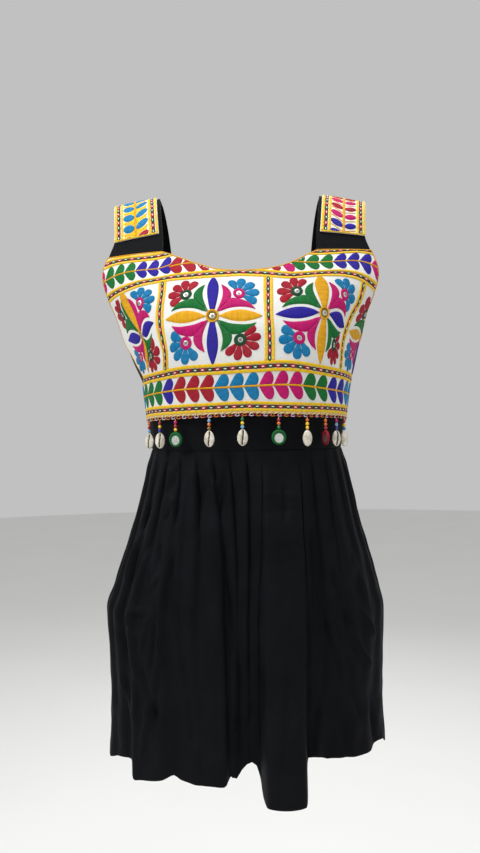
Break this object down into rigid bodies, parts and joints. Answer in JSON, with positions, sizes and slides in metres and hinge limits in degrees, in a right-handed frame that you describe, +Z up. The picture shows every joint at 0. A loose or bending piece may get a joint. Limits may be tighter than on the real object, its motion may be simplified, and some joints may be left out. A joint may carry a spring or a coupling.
{
  "type": "sleeveless pleated tunic top with embroidered cropped front",
  "caption": "Worn sleeveless tunic top: black bodice and pleated skirt, with an embroidered cropped front and strap bands laid over it and cowrie and mirror danglers.",
  "frame": {"origin": "midway between the undersides of the two shoulder straps, at the top of the shoulders, where the wearer holds the garment up", "axes": "+Z up, -Y out of the garment's front, +X to the right as seen from the front"},
  "size_m": [0.3535, 0.2548, 0.7268],
  "materials": {
    "black_cloth": "fine matte black woven rayon",
    "embroidered_cloth": "white cloth covered with glossy satin-stitch thread",
    "lace": "looped multicolour thread",
    "beads": "small glossy glass-like beads in several colours",
    "shell": "natural cowrie shell, satin gloss",
    "mirror": "small round mirror in a ring of thread"
  },
  "bodies": {
    "root": {"bodice_front": "black_cloth", "bodice_back": "black_cloth", "skirt_front": "black_cloth", "skirt_back": "black_cloth", "yoke_front": "embroidered_cloth", "strap_band_left": "embroidered_cloth", "strap_band_right": "embroidered_cloth", "hem_lace": "lace", "bead_string_01": "beads", "bead_string_02": "beads", "bead_string_03": "beads", "bead_string_04": "beads", "bead_string_05": "beads", "bead_string_06": "beads", "bead_string_07": "beads", "bead_string_08": "beads", "bead_string_09": "beads", "bead_string_10": "beads", "shell_01": "shell", "shell_02": "shell", "mirror_03": "mirror", "shell_04": "shell", "shell_05": "shell", "mirror_06": "mirror", "shell_07": "shell", "mirror_08": "mirror", "shell_09": "shell", "shell_10": "shell"}
  },
  "joints": []
}
